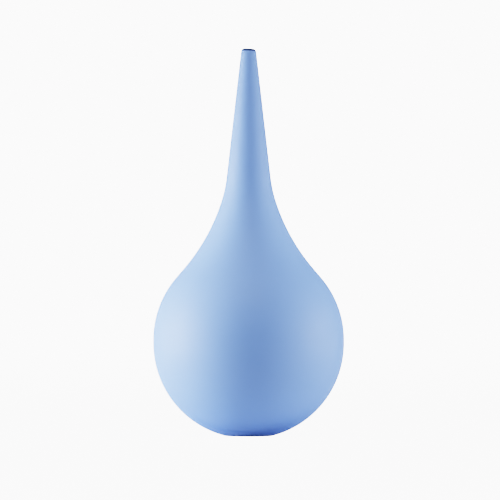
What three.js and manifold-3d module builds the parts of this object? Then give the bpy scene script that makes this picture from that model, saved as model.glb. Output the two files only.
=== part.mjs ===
// Nasal aspirator: a soft hollow bulb moulded in one piece with its tapered nozzle.
// Units are millimetres, +Z is up, the origin is the centre of the flat foot it stands on,
// and -Y is the front. The moulding is built as the zones that move against each other
// when a hand uses it: the nozzle's two halves, two squeeze walls and the middle of the
// foot all move against a shell of neck, shoulder, front and back walls and lower bowl.
import * as THREE from "three";
import { mergeVertices } from "three/addons/utils/BufferGeometryUtils.js";
import Module from "manifold-3d";

const wasm = await Module();
wasm.setup();

// ---- Driving dimensions -------------------------------------------------------------
const HEIGHT = 127; // five inches, foot to nozzle tip
const BULB_RADIUS = 31.3; // largest outer radius
const LOWER_CENTRE_Z = 30.3; // centre of the ball below the equator
const EQUATOR_STRAIGHT = 1.2; // short upright band between the two half balls
const FOOT_EDGE_RADIUS = 0.8; // rounding between the flat foot and the ball
const SHOULDER_ANGLE = 40.5; // lean of the shoulder from the axis, degrees
const SHOULDER_STRAIGHT = 4; // conical stretch between ball and flare
const FLARE_RADIUS = 64; // long concave arc of the neck
const FLARE_END_ANGLE = 18; // lean where the flare ends and the throat begins, degrees
const THROAT_RADIUS = 42; // tighter concave arc that runs into the nozzle
const NOZZLE_ANGLE = 6.55; // taper of the nozzle, degrees from the axis
const TIP_EDGE_RADIUS = 1.2; // rounding of the nozzle's end
const ORIFICE_RADIUS = 1; // hole in the nozzle's end

const BULB_WALL = 2.5; // wall thickness of the bulb
const THROAT_WALL = 3.2; // wall thickness where neck and nozzle meet
const FOOT_THICKNESS = 3.5; // the foot is the thickest part of the bulb

const BOWL_TOP_Z = 18; // the lower bowl ends and the front and back walls begin
const SHOULDER_BOTTOM_Z = 48; // those walls end and the shoulder begins
const NECK_BOTTOM_Z = 66; // the shoulder ends and the neck begins
const STEM_BOTTOM_Z = 84; // the nozzle bends here, where it leaves the neck
const STEM_SWING_RADIUS = 8;
const TIP_BOTTOM_Z = 106; // and again here, where it gets thin
const TIP_SWING_RADIUS = 5.3;
const SQUEEZE_RADIUS = 18; // a finger pushes in a disc this large on either side
const SQUEEZE_CENTRE_Z = 33;
const PRESS_RADIUS = 5.5; // a thumb pushes in this much of the foot
const PRESS_RECESS = 0.3; // the middle of the foot stands clear of the table by this

const GAP = 0.3; // clearance between neighbouring zones
const FACET_SAG = 0.03; // how far a facet's middle may fall inside its arc
const ROUND_SEGMENTS = 48; // facets around the axis
const CUTTER_LENGTH = 160; // longer than the whole part
const UP = new THREE.Vector3(0, 0, 1);

const { degToRad, radToDeg, lerp, clamp } = THREE.MathUtils;

// ---- Outline ------------------------------------------------------------------------
// A point of the outer outline: radius, height and lean, where the lean is the tangent's
// angle from the axis and grows as the outline turns towards the axis.
function outlinePoint(r, z, lean) {
  return { r, z, lean };
}

// The points of an arc that leaves `from` on its tangent and ends at the lean `toLean`.
function arcFrom(from, radius, toLean) {
  const turn = Math.sign(toLean - from.lean);
  const facetAngle = 2 * radToDeg(Math.acos(1 - FACET_SAG / radius));
  const steps = Math.ceil(Math.abs(toLean - from.lean) / facetAngle);
  const points = [];
  for (let i = 1; i <= steps; i++) {
    const lean = lerp(from.lean, toLean, i / steps);
    const across = Math.cos(degToRad(lean)) - Math.cos(degToRad(from.lean));
    const along = Math.sin(degToRad(lean)) - Math.sin(degToRad(from.lean));
    points.push(
      outlinePoint(from.r + turn * radius * across, from.z + turn * radius * along, lean),
    );
  }
  return points;
}

// The end of a straight stretch that leaves `from` on its tangent.
function lineFrom(from, length) {
  const lean = degToRad(from.lean);
  return outlinePoint(
    from.r - length * Math.sin(lean),
    from.z + length * Math.cos(lean),
    from.lean,
  );
}

// The whole outer outline, from the edge of the flat foot up to the nozzle's flat end.
function makeOutline() {
  const inner = BULB_RADIUS - FOOT_EDGE_RADIUS;
  const drop = LOWER_CENTRE_Z - FOOT_EDGE_RADIUS;
  const footRadius = Math.sqrt(inner ** 2 - drop ** 2);
  const footLean = -radToDeg(Math.asin(drop / inner));
  const points = [outlinePoint(footRadius, 0, -90)];
  const last = () => points[points.length - 1];

  points.push(...arcFrom(last(), FOOT_EDGE_RADIUS, footLean));
  points.push(...arcFrom(last(), BULB_RADIUS, 0));
  points.push(lineFrom(last(), EQUATOR_STRAIGHT));
  points.push(...arcFrom(last(), BULB_RADIUS, SHOULDER_ANGLE));
  points.push(lineFrom(last(), SHOULDER_STRAIGHT));
  points.push(...arcFrom(last(), FLARE_RADIUS, FLARE_END_ANGLE));
  points.push(...arcFrom(last(), THROAT_RADIUS, NOZZLE_ANGLE));

  // The tip's rounding starts this far under the top, so the taper's length follows.
  const taper = degToRad(NOZZLE_ANGLE);
  const tipStart = HEIGHT - TIP_EDGE_RADIUS * (1 - Math.sin(taper));
  const taperLength = (tipStart - last().z) / Math.cos(taper);
  points.push(lineFrom(last(), taperLength));
  points.push(...arcFrom(last(), TIP_EDGE_RADIUS, 90));
  return points;
}

const OUTLINE = makeOutline();
const SHOULDER_Z = OUTLINE.find((p) => p.lean >= SHOULDER_ANGLE).z;
const THROAT_Z = OUTLINE.find((p) => p.z > SHOULDER_Z && p.lean <= NOZZLE_ANGLE).z;

// The outline at a height, between its two nearest points.
function outlineAt(z) {
  const i = clamp(OUTLINE.findIndex((p) => p.z > z), 1, OUTLINE.length - 1);
  const [a, b] = [OUTLINE[i - 1], OUTLINE[i]];
  const share = (z - a.z) / (b.z - a.z);
  return outlinePoint(lerp(a.r, b.r, share), z, lerp(a.lean, b.lean, share));
}

function wallThickness(z) {
  const share = clamp((z - SHOULDER_Z) / (THROAT_Z - SHOULDER_Z), 0, 1);
  return lerp(BULB_WALL, THROAT_WALL, share);
}

// The point of the hollow's surface that lies square to the wall behind an outline point.
function behind(p) {
  const lean = degToRad(p.lean);
  const wall = wallThickness(p.z);
  return new THREE.Vector2(p.r - wall * Math.cos(lean), p.z - wall * Math.sin(lean));
}

const flat = (p) => new THREE.Vector2(p.r, p.z);

// ---- Solids -------------------------------------------------------------------------
// A solid of revolution from an outline that closes on itself or on the axis. The outline
// runs anticlockwise, outer side upwards, in (radius, height).
function revolve(points) {
  const onAxis = points[0].x === 0 && points[points.length - 1].x === 0;
  const closed = onAxis ? points : [...points, points[0].clone()];
  const lathe = new THREE.LatheGeometry(closed, ROUND_SEGMENTS);
  return lathe.rotateX(Math.PI / 2); // the lathe's axis is +Y, and the part's is +Z
}

function toSolid(geometry) {
  const bare = geometry.clone().deleteAttribute("normal").deleteAttribute("uv");
  const merged = mergeVertices(bare, 1e-4);
  return new wasm.Manifold(
    new wasm.Mesh({
      numProp: 3,
      vertProperties: merged.getAttribute("position").array,
      triVerts: new Uint32Array(merged.getIndex().array),
    }),
  );
}

function toGeometry(solid) {
  const mesh = solid.getMesh();
  const geometry = new THREE.BufferGeometry();
  geometry.setAttribute("position", new THREE.BufferAttribute(mesh.vertProperties, 3));
  geometry.setIndex(new THREE.BufferAttribute(mesh.triVerts, 1));
  geometry.computeVertexNormals();
  return geometry;
}

// A round bar along X through the middle of both squeeze walls.
function squeezeBar(radius) {
  const bar = new THREE.CylinderGeometry(radius, radius, CUTTER_LENGTH, ROUND_SEGMENTS);
  bar.rotateZ(Math.PI / 2).translate(0, 0, SQUEEZE_CENTRE_Z);
  return toSolid(bar);
}

// Everything on one side of the plane that faces `axis` at the distance `offset`.
function halfSpace(axis, offset) {
  const block = new THREE.BoxGeometry(CUTTER_LENGTH, CUTTER_LENGTH, CUTTER_LENGTH);
  const shift = axis.clone().multiplyScalar(offset + CUTTER_LENGTH / 2);
  block.translate(shift.x, shift.y, shift.z + (axis.z ? 0 : HEIGHT / 2));
  return toSolid(block);
}

// ---- Zones --------------------------------------------------------------------------
const CUT = GAP / 2; // each of two neighbours gives way by half the gap

// The ball's wall and foot as a full ring, from the hole for the thumb up to the neck.
function bulbShell() {
  const holeRadius = PRESS_RADIUS + CUT;
  const wall = OUTLINE.filter((p) => p.z < NECK_BOTTOM_Z - GAP);
  const outer = [...wall, outlineAt(NECK_BOTTOM_Z - CUT)];
  const inner = outer.map(behind).filter((p) => p.y > FOOT_THICKNESS + GAP);
  const innerBall = BULB_RADIUS - BULB_WALL;
  const floorRadius = Math.sqrt(innerBall ** 2 - (LOWER_CENTRE_Z - FOOT_THICKNESS) ** 2);
  return toSolid(
    revolve([
      new THREE.Vector2(holeRadius, 0),
      ...outer.map(flat),
      ...inner.reverse(),
      new THREE.Vector2(floorRadius, FOOT_THICKNESS),
      new THREE.Vector2(holeRadius, FOOT_THICKNESS),
    ]),
  );
}

// What is left of the shell once both squeeze walls are cut out of it.
const fixedShell = bulbShell().subtract(squeezeBar(SQUEEZE_RADIUS + CUT));

function lowerBowl() {
  return fixedShell.subtract(halfSpace(UP, BOWL_TOP_Z - CUT));
}

function shoulder() {
  return fixedShell.intersect(halfSpace(UP, SHOULDER_BOTTOM_Z + CUT));
}

// Front or back wall, between the lower bowl and the shoulder.
function fixedWall(side) {
  return fixedShell
    .intersect(halfSpace(new THREE.Vector3(0, side, 0), 0))
    .intersect(halfSpace(UP, BOWL_TOP_Z + CUT))
    .subtract(halfSpace(UP, SHOULDER_BOTTOM_Z - CUT));
}

// Left or right wall: the disc of the shell that slides straight in under a finger.
function squeezeWall(side) {
  return bulbShell()
    .intersect(squeezeBar(SQUEEZE_RADIUS - CUT))
    .intersect(halfSpace(new THREE.Vector3(side, 0, 0), 0));
}

// The middle of the foot, which slides straight up under a thumb.
function basePad() {
  const radius = PRESS_RADIUS - CUT;
  return toSolid(
    revolve([
      new THREE.Vector2(0, PRESS_RECESS),
      new THREE.Vector2(radius, PRESS_RECESS),
      new THREE.Vector2(radius, FOOT_THICKNESS),
      new THREE.Vector2(0, FOOT_THICKNESS),
    ]),
  );
}

// Neck and nozzle in one piece. The bore follows the wall up to the throat, then tapers
// straight to the orifice.
function spout() {
  const wall = OUTLINE.filter((p) => p.z > NECK_BOTTOM_Z + GAP);
  const outer = [outlineAt(NECK_BOTTOM_Z + CUT), ...wall];
  const hollow = outer.filter((p) => p.z <= THROAT_Z).map(behind);
  const orifice = new THREE.Vector2(ORIFICE_RADIUS, HEIGHT);
  return toSolid(revolve([...outer.map(flat), orifice, ...hollow.reverse()]));
}

// Where the nozzle bends, the two zones meet on a ball, which is cut to show at `edgeZ`.
function swingAt(edgeZ, radius) {
  return { radius, centreZ: edgeZ + Math.sqrt(radius ** 2 - outlineAt(edgeZ).r ** 2) };
}

function ball(swing, radius) {
  const sphere = new THREE.SphereGeometry(radius, ROUND_SEGMENTS, ROUND_SEGMENTS / 2);
  return toSolid(sphere.rotateX(Math.PI / 2).translate(0, 0, swing.centreZ));
}

function below(swing, solid) {
  const socket = ball(swing, swing.radius + CUT);
  return solid.subtract(socket).subtract(halfSpace(UP, swing.centreZ));
}

function above(swing, solid) {
  const head = ball(swing, swing.radius - CUT);
  return solid.intersect(head.add(halfSpace(UP, swing.centreZ)));
}

// ---- Scene graph --------------------------------------------------------------------
const soft = new THREE.MeshStandardMaterial({ color: 0x86abdc, roughness: 0.55, metalness: 0 });
const aspirator = new THREE.Group();

function addZone(name, solid) {
  const mesh = new THREE.Mesh(toGeometry(solid), soft.clone());
  mesh.name = name;
  aspirator.add(mesh);
}

const stemSwing = swingAt(STEM_BOTTOM_Z, STEM_SWING_RADIUS);
const tipSwing = swingAt(TIP_BOTTOM_Z, TIP_SWING_RADIUS);
const nozzle = above(stemSwing, spout());

addZone("nozzle_tip", above(tipSwing, nozzle));
addZone("nozzle_stem", below(tipSwing, nozzle));
addZone("neck", below(stemSwing, spout()));
addZone("shoulder", shoulder());
addZone("front_wall", fixedWall(-1));
addZone("back_wall", fixedWall(1));
addZone("left_wall", squeezeWall(-1));
addZone("right_wall", squeezeWall(1));
addZone("lower_bowl", lowerBowl());
addZone("base_pad", basePad());

export default aspirator;
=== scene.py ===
"""Nasal aspirator: a soft blue bulb moulded in one piece with its long tapered nozzle.

The skin is five meshes that meet edge to edge: the bulb's two halves and its foot, and two
lengths of nozzle.

Lengths are metres, in the CAD's frame: +Z is up the axis and -Y is the front.
"""

import math

import bpy
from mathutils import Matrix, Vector


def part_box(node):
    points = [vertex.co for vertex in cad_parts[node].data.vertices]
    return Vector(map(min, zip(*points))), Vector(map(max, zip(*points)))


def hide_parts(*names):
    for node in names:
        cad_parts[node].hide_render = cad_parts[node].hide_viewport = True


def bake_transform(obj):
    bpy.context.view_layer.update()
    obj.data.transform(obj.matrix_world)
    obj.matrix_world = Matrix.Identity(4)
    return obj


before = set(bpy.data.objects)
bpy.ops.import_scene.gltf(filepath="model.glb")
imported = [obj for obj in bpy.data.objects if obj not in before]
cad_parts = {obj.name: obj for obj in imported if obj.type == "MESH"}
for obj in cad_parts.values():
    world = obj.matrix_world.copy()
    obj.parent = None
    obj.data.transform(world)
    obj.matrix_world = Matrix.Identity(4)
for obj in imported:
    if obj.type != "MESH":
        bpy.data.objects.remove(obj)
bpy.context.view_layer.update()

MM = 0.001
QUARTER_TURN = math.pi / 2
FULL_TURN = 2 * math.pi

# ---- The moulding's outline ---------------------------------------------------------
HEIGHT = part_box("nozzle_tip")[1][2]
BULB_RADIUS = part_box("right_wall")[1][0]
LOWER_CENTRE_Z = 30.3 * MM  # centre of the ball below the equator
EQUATOR_STRAIGHT = 1.2 * MM  # short upright band between the two half balls
FOOT_EDGE_RADIUS = 0.8 * MM  # rounding between the flat foot and the ball
DISH_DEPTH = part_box("base_pad")[0][2]  # the middle of the foot is slightly hollow
DISH_FLOOR_RADIUS = 2.6 * MM  # the hollow is flat out to here
DISH_RIM_RADIUS = 6.6 * MM  # and ends here, inside the ring that the bulb stands on
SHOULDER_ANGLE = math.radians(40.5)  # lean of the shoulder from the axis
SHOULDER_STRAIGHT = 4.0 * MM  # conical stretch between ball and flare
FLARE_RADIUS = 64.0 * MM  # long concave arc of the neck
FLARE_END_ANGLE = math.radians(18.0)  # lean where the flare ends and the throat begins
THROAT_RADIUS = 42.0 * MM  # tighter concave arc that runs into the nozzle
NOZZLE_ANGLE = math.radians(6.55)  # taper of the nozzle from the axis
TIP_EDGE_RADIUS = 1.2 * MM  # rounding of the nozzle's end
ORIFICE_RADIUS = 1.0 * MM
LIP_RADIUS = 0.25 * MM  # rounding of the orifice's edge
CUT_END_SLANT = 0.05  # slope of the nozzle's cut end, which drops towards +X
CUT_END_DEPTH = 4.0 * MM  # the slant eases in over this stretch
TIP_SHADE_LEAN = (math.radians(8.0), math.radians(35.0))  # painted shade darkens the skin between these leans
BORE_ANGLE = math.radians(4.2)  # taper of the bore, which widens going down

# ---- Where the pieces meet ----------------------------------------------------------
FOOT_SEAM_RADIUS = 6.9 * MM  # on the ring that the bulb stands on
NECK_SEAM_Z = 78.0 * MM
NOZZLE_SEAM_Z = 97.5 * MM

ROW_LENGTH = 1.0 * MM  # spacing of the mesh's rows along the outline
LARGEST_TURN = math.radians(5.0)  # and the most that the outline turns from row to row
DISH_ROWS = 24  # rows across the foot's hollow
COLUMNS = 144  # facets round the axis


# ---- Outline ------------------------------------------------------------------------
# An outline is a list of (radius, height, lean). The lean is the tangent's angle from the
# axis, growing as the outline turns towards the axis, so the outward normal is
# (cos lean, sin lean) in (radius, height).
def add_arc(outline, radius, to_lean):
    """Carries the outline on along a circle until it leans by `to_lean`."""
    r, z, lean = outline[-1]
    turn = 1 if to_lean > lean else -1
    angle = abs(to_lean - lean)
    steps = math.ceil(max(angle * radius / ROW_LENGTH, angle / LARGEST_TURN))
    for i in range(1, steps + 1):
        here = lean + (to_lean - lean) * i / steps
        across = turn * radius * (math.cos(here) - math.cos(lean))
        along = turn * radius * (math.sin(here) - math.sin(lean))
        outline.append((r + across, z + along, here))


def add_line(outline, length):
    """Carries the outline straight on."""
    r, z, lean = outline[-1]
    steps = math.ceil(length / ROW_LENGTH)
    for i in range(1, steps + 1):
        run = length * i / steps
        outline.append((r - run * math.sin(lean), z + run * math.cos(lean), lean))


def dish_row(r):
    """The underside of the foot's hollow middle, which rises smoothly to its full depth."""
    width = DISH_RIM_RADIUS - DISH_FLOOR_RADIUS
    share = min(1.0, max(0.0, (DISH_RIM_RADIUS - r) / width))
    z = DISH_DEPTH * share**2 * (3 - 2 * share)
    slope = DISH_DEPTH * 6 * share * (1 - share) / width
    return (r, z, -math.pi / 2 - math.atan(slope))


def make_outline():
    """The outer skin, from the middle of the foot up to the orifice and down the bore."""
    inner = BULB_RADIUS - FOOT_EDGE_RADIUS
    drop = LOWER_CENTRE_Z - FOOT_EDGE_RADIUS
    foot_radius = math.sqrt(inner**2 - drop**2)
    outline = [dish_row(DISH_RIM_RADIUS * i / DISH_ROWS) for i in range(DISH_ROWS + 1)]
    outline += [(r, 0.0, -math.pi / 2) for r in (FOOT_SEAM_RADIUS, foot_radius)]

    add_arc(outline, FOOT_EDGE_RADIUS, -math.asin(drop / inner))
    add_arc(outline, BULB_RADIUS, 0.0)
    add_line(outline, EQUATOR_STRAIGHT)
    add_arc(outline, BULB_RADIUS, SHOULDER_ANGLE)
    add_line(outline, SHOULDER_STRAIGHT)
    add_arc(outline, FLARE_RADIUS, FLARE_END_ANGLE)
    add_arc(outline, THROAT_RADIUS, NOZZLE_ANGLE)

    tip_start = HEIGHT - TIP_EDGE_RADIUS * (1 - math.sin(NOZZLE_ANGLE))
    add_line(outline, (tip_start - outline[-1][1]) / math.cos(NOZZLE_ANGLE))
    add_arc(outline, TIP_EDGE_RADIUS, math.pi / 2)
    add_line(outline, outline[-1][0] - ORIFICE_RADIUS - LIP_RADIUS)
    add_arc(outline, LIP_RADIUS, math.pi + BORE_ANGLE)
    add_line(outline, (outline[-1][1] - NOZZLE_SEAM_Z) / math.cos(BORE_ANGLE))
    return outline


def slanted(x, z):
    """The height of a point once the nozzle's end is cut at a slant."""
    share = max(0.0, 1 - (HEIGHT - z) / CUT_END_DEPTH)
    return z - share * CUT_END_SLANT * (x + ORIFICE_RADIUS + LIP_RADIUS)


def painted_tip_shade(z, lean):
    """Painted shade on a row: 1 on the nozzle's cut end, and 0 everywhere else."""
    if z < HEIGHT - CUT_END_DEPTH:
        return 0.0
    low, high = TIP_SHADE_LEAN
    share = min(1.0, max(0.0, (lean - low) / (high - low)))
    return share**2 * (3 - 2 * share)


def revolve(name, rows, first_angle, last_angle):
    """A smooth skin from rows of (radius, height, lean), swept between two angles.

    Its attribute holds each point's painted shade for the nozzle's end.
    """
    turn = last_angle - first_angle
    whole = math.isclose(turn, FULL_TURN)
    steps = round(COLUMNS * turn / FULL_TURN)
    columns = steps if whole else steps + 1
    angles = [first_angle + turn * j / steps for j in range(columns)]

    points = []
    normals = []
    shade_paint = []
    row_starts = []
    for r, z, lean in rows:
        row_starts.append(len(points))
        # painted shade where the nozzle's end faces up
        painted_shade = painted_tip_shade(z, lean)
        for angle in angles[:1] if r == 0 else angles:
            x = r * math.cos(angle)
            points.append((x, r * math.sin(angle), slanted(x, z)))
            across = math.cos(lean)
            normals.append((across * math.cos(angle), across * math.sin(angle), math.sin(lean)))
            shade_paint.append(painted_shade)

    faces = []
    for i in range(len(rows) - 1):
        low, high = row_starts[i], row_starts[i + 1]
        for j in range(steps):
            k = (j + 1) % columns
            if rows[i][0] == 0:
                faces.append((low, high + k, high + j))
            else:
                faces.append((low + j, low + k, high + k, high + j))

    mesh = bpy.data.meshes.new(name)
    mesh.from_pydata(points, [], faces)
    mesh.shade_smooth()
    mesh.normals_split_custom_set_from_vertices(normals)
    mesh.attributes.new("shade_paint", "FLOAT", "POINT").data.foreach_set("value", shade_paint)
    piece = bpy.data.objects.new(name, mesh)
    bpy.context.collection.objects.link(piece)
    return piece


# ---- Material -----------------------------------------------------------------------
RUBBER_DEEP = (0.224, 0.361, 0.815, 1)
RUBBER_PALE = (0.244, 0.385, 0.855, 1)
RUBBER_PAINTED_SHADE = (0.040, 0.070, 0.165, 1)  # painted shade on the nozzle's cut end
RUBBER_IOR = 1.45
RUBBER_SPECULAR = 0.40
SATIN_ROUGHNESS = (0.57, 0.63)
SMEAR_CONTRAST = (0.3, 0.7)  # the part of the noise that is stretched over the roughness
CLOUD_SCALE = 38.0  # soft patches of colour, about 26 mm across
CLOUD_DETAIL = 3.0
SMEAR_SCALE = 160.0  # handling marks in the shine, about 6 mm across
SMEAR_DETAIL = 4.0
GRAIN_SCALE = 2600.0  # the mould's fine grain, about 0.4 mm across
GRAIN_DETAIL = 2.0
GRAIN_DEPTH = 0.05 * MM
GRAIN_STRENGTH = 0.12


def make_rubber():
    """Satin blue rubber: an even colour, a fine moulded grain and faint handling marks, with
    painted shade on the nozzle's end.
    """
    material = bpy.data.materials.new("satin_rubber")
    material.use_nodes = True
    nodes = material.node_tree.nodes
    links = material.node_tree.links
    shader = nodes["Principled BSDF"]
    where = nodes.new("ShaderNodeTexCoord")

    def noise(scale, detail):
        node = nodes.new("ShaderNodeTexNoise")
        node.inputs["Scale"].default_value = scale
        node.inputs["Detail"].default_value = detail
        links.new(where.outputs["Object"], node.inputs["Vector"])
        return node.outputs["Fac"]

    tint = nodes.new("ShaderNodeMix")
    tint.data_type = "RGBA"
    tint.inputs["A"].default_value = RUBBER_DEEP
    tint.inputs["B"].default_value = RUBBER_PALE
    links.new(noise(CLOUD_SCALE, CLOUD_DETAIL), tint.inputs["Factor"])

    # Painted shade: the nozzle's end is darkened where it faces up.
    shade_paint_node = nodes.new("ShaderNodeAttribute")
    shade_paint_node.attribute_name = "shade_paint"
    colour = nodes.new("ShaderNodeMix")
    colour.data_type = "RGBA"
    colour.inputs["B"].default_value = RUBBER_PAINTED_SHADE
    links.new(shade_paint_node.outputs["Fac"], colour.inputs["Factor"])
    links.new(tint.outputs["Result"], colour.inputs["A"])
    links.new(colour.outputs["Result"], shader.inputs["Base Color"])

    satin = nodes.new("ShaderNodeMapRange")
    satin.inputs["From Min"].default_value = SMEAR_CONTRAST[0]
    satin.inputs["From Max"].default_value = SMEAR_CONTRAST[1]
    satin.inputs["To Min"].default_value = SATIN_ROUGHNESS[0]
    satin.inputs["To Max"].default_value = SATIN_ROUGHNESS[1]
    links.new(noise(SMEAR_SCALE, SMEAR_DETAIL), satin.inputs["Value"])
    links.new(satin.outputs["Result"], shader.inputs["Roughness"])

    bump = nodes.new("ShaderNodeBump")
    bump.inputs["Strength"].default_value = GRAIN_STRENGTH
    bump.inputs["Distance"].default_value = GRAIN_DEPTH
    links.new(noise(GRAIN_SCALE, GRAIN_DETAIL), bump.inputs["Height"])
    links.new(bump.outputs["Normal"], shader.inputs["Normal"])

    shader.inputs["IOR"].default_value = RUBBER_IOR
    shader.inputs["Specular IOR Level"].default_value = RUBBER_SPECULAR
    return material


# ---- Stage --------------------------------------------------------------------------
# The lens and the sensor are in millimetres and the lamps' powers in watts.
CAMERA_LENS = 400.0  # long, so the view is nearly parallel
CAMERA_SENSOR = 36.0
CAMERA_ELEVATION = math.radians(0.5)
CAMERA_CLIP = (0.01, 20.0)  # nearest and farthest things that it sees
FILL = 0.7746  # share of the picture's height that the object fills
AIM_ASIDE = 0.44 * MM  # the camera aims this far to the right of the axis
AIM_BELOW = 2.6 * MM  # and this far below the object's middle
SIDE_BOX_AIM = Vector((0, 0, 30 * MM))
LOW_BOX = (0.22, 0.08)  # long and low, close to the table
LOW_BOX_Z = 0.05
GRID_BOX = (0.22, 0.16)  # has a grid in front of it, which narrows its spread
GRID_BOX_Z = 0.08
# Name, place along X, power of the low box, power of the box with the grid.
SIDE_LIGHTS = (("left", -0.30, 0.76, 0.120), ("right", 0.30, 0.37, 0.052))
TOP_BOX = (0.40, 0.40)
TOP_BOX_AIM = Vector((0, 0, 55 * MM))
TOP_POWER = 1.62
TOP_BOX_ANGLE = math.radians(65.0)  # above the horizon, in front
TOP_BOX_DISTANCE = 0.5
OPEN_SPREAD = math.radians(180.0)
GRID_SPREAD = math.radians(45.0)
FLOOR_SIZE = 6.0
FLOOR_COLOUR = (0.8, 0.8, 0.8, 1)
FLOOR_ROUGHNESS = 0.9
SHADE_COLOUR = (0.2, 0.2, 0.2, 1)  # how strongly the camera sees light and shade on the floor
FLOOR_GLOW = 3.4  # over this much white close to the bulb
FLOOR_FADE = (0.03, 1.0)  # which turns as white as the backdrop between these distances
ROOM_LIGHT = 0.04  # a trace of light from all round
BACKDROP_LIGHT = 4.0


def make_camera():
    """Straight in front, a touch from above."""
    camera = bpy.data.cameras.new("camera")
    camera.lens = CAMERA_LENS
    camera.sensor_width = CAMERA_SENSOR
    holder = bpy.data.objects.new("camera", camera)
    bpy.context.collection.objects.link(holder)
    aim = Vector((AIM_ASIDE, 0, HEIGHT / 2 - AIM_BELOW))
    distance = HEIGHT / FILL * CAMERA_LENS / CAMERA_SENSOR
    back = Vector((0, -math.cos(CAMERA_ELEVATION), math.sin(CAMERA_ELEVATION)))
    holder.location = aim + back * distance
    holder.rotation_mode = "QUATERNION"
    holder.rotation_quaternion = (-back).to_track_quat("-Z", "Y")
    camera.clip_start, camera.clip_end = CAMERA_CLIP
    bpy.context.scene.camera = holder


def make_softbox(name, place, size, power, aim=SIDE_BOX_AIM, spread=OPEN_SPREAD):
    """A rectangular lamp that lights the object but isn't seen itself."""
    light = bpy.data.lights.new(name, "AREA")
    light.shape = "RECTANGLE"
    light.size, light.size_y = size
    light.energy = power
    light.spread = spread
    lamp = bpy.data.objects.new(name, light)
    lamp.visible_camera = False
    bpy.context.collection.objects.link(lamp)
    lamp.location = place
    lamp.rotation_mode = "QUATERNION"
    lamp.rotation_quaternion = (aim - Vector(place)).to_track_quat("-Z", "Y")


def for_the_camera(material_or_world, plain, shown, out):
    """Shows the camera the shader `shown`, while all other light meets `plain`."""
    nodes = material_or_world.node_tree.nodes
    links = material_or_world.node_tree.links
    rays = nodes.new("ShaderNodeLightPath")
    choose = nodes.new("ShaderNodeMixShader")
    links.new(rays.outputs["Is Camera Ray"], choose.inputs["Fac"])
    links.new(plain, choose.inputs[1])
    links.new(shown, choose.inputs[2])
    links.new(choose.outputs["Shader"], out.inputs["Surface"])


def make_floor_material():
    """A pale matt table, which the camera sees as white with its light and shade toned down."""
    material = bpy.data.materials.new("floor")
    material.use_nodes = True
    nodes = material.node_tree.nodes
    links = material.node_tree.links
    shader = nodes["Principled BSDF"]
    shader.inputs["Base Color"].default_value = FLOOR_COLOUR
    shader.inputs["Roughness"].default_value = FLOOR_ROUGHNESS
    where = nodes.new("ShaderNodeTexCoord")
    distance = nodes.new("ShaderNodeVectorMath")
    distance.operation = "LENGTH"
    links.new(where.outputs["Object"], distance.inputs[0])
    fade = nodes.new("ShaderNodeMapRange")
    fade.interpolation_type = "SMOOTHSTEP"
    fade.inputs["From Min"].default_value = FLOOR_FADE[0]
    fade.inputs["From Max"].default_value = FLOOR_FADE[1]
    fade.inputs["To Min"].default_value = FLOOR_GLOW
    fade.inputs["To Max"].default_value = BACKDROP_LIGHT
    links.new(distance.outputs["Value"], fade.inputs["Value"])
    glow = nodes.new("ShaderNodeEmission")
    links.new(fade.outputs["Result"], glow.inputs["Strength"])
    shade = nodes.new("ShaderNodeBsdfDiffuse")
    shade.inputs["Color"].default_value = SHADE_COLOUR
    bright = nodes.new("ShaderNodeAddShader")
    links.new(shade.outputs["BSDF"], bright.inputs[0])
    links.new(glow.outputs["Emission"], bright.inputs[1])
    for_the_camera(
        material, shader.outputs["BSDF"], bright.outputs["Shader"], nodes["Material Output"]
    )
    return material


def make_floor():
    mesh = bpy.data.meshes.new("floor")
    far = FLOOR_SIZE / 2
    corners = [(-far, -far, 0), (far, -far, 0), (far, far, 0), (-far, far, 0)]
    mesh.from_pydata(corners, [], [(0, 1, 2, 3)])
    mesh.materials.append(make_floor_material())
    floor = bpy.data.objects.new("floor", mesh)
    bpy.context.collection.objects.link(floor)


def make_backdrop():
    """White behind the object, which lights it only by a trace."""
    world = bpy.data.worlds.new("studio")
    bpy.context.scene.world = world
    world.use_nodes = True
    nodes = world.node_tree.nodes
    dim = nodes["Background"]
    dim.inputs["Color"].default_value = (1, 1, 1, 1)
    dim.inputs["Strength"].default_value = ROOM_LIGHT
    white = nodes.new("ShaderNodeBackground")
    white.inputs["Color"].default_value = (1, 1, 1, 1)
    white.inputs["Strength"].default_value = BACKDROP_LIGHT
    for_the_camera(
        world, dim.outputs["Background"], white.outputs["Background"], nodes["World Output"]
    )


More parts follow.
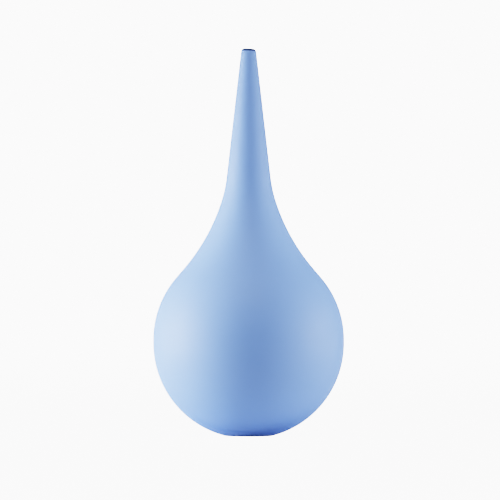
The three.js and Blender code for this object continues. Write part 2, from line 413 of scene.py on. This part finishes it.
def make_stage():
    """Floor, backdrop, two boxes on each side, and one above in front."""
    make_floor()
    make_backdrop()
    for name, side, low_power, grid_power in SIDE_LIGHTS:
        make_softbox(name + "_low", (side, 0, LOW_BOX_Z), LOW_BOX, low_power)
        grid_place = (side, 0, GRID_BOX_Z)
        make_softbox(name + "_grid", grid_place, GRID_BOX, grid_power, spread=GRID_SPREAD)
    above = Vector((0, -math.cos(TOP_BOX_ANGLE), math.sin(TOP_BOX_ANGLE)))
    top_place = TOP_BOX_AIM + above * TOP_BOX_DISTANCE
    make_softbox("top", top_place, TOP_BOX, TOP_POWER, aim=TOP_BOX_AIM)
    view = bpy.context.scene.view_settings
    view.view_transform = "Filmic"
    view.look = "Very High Contrast"


# ---- Pieces -------------------------------------------------------------------------
OUTLINE = make_outline()


def first_row_at(z):
    """The number of the outline's first row that reaches the height `z`."""
    return next(i for i, row in enumerate(OUTLINE) if row[1] >= z)


FOOT_SEAM = DISH_ROWS + 1  # the row at FOOT_SEAM_RADIUS
NECK_SEAM = first_row_at(NECK_SEAM_Z)
NOZZLE_SEAM = first_row_at(NOZZLE_SEAM_Z)
RUBBER = make_rubber()


def finish_piece(piece, nodes):
    """Makes a piece of rubber and hides the CAD nodes that it stands for."""
    piece.data.materials.append(RUBBER)
    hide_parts(*nodes)


def make_bulb():
    """Two halves and a foot.
    """
    rows = OUTLINE[FOOT_SEAM : NECK_SEAM + 1]

    left = revolve("bulb_left", rows, QUARTER_TURN, 3 * QUARTER_TURN)
    finish_piece(left, ["left_wall", "front_wall", "lower_bowl"])
    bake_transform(left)

    right = revolve("bulb_right", rows, -QUARTER_TURN, QUARTER_TURN)
    finish_piece(right, ["right_wall", "back_wall", "shoulder"])
    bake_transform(right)

    foot = revolve("bulb_foot", OUTLINE[: FOOT_SEAM + 1], 0, FULL_TURN)
    finish_piece(foot, ["base_pad"])
    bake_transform(foot)


def make_nozzle():
    """Two lengths."""
    lower = revolve("nozzle_lower", OUTLINE[NECK_SEAM : NOZZLE_SEAM + 1], 0, FULL_TURN)
    finish_piece(lower, ["neck", "nozzle_stem"])
    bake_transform(lower)

    upper = revolve("nozzle_upper", OUTLINE[NOZZLE_SEAM:], 0, FULL_TURN)
    finish_piece(upper, ["nozzle_tip"])
    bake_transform(upper)


make_camera()
make_stage()
make_bulb()
make_nozzle()
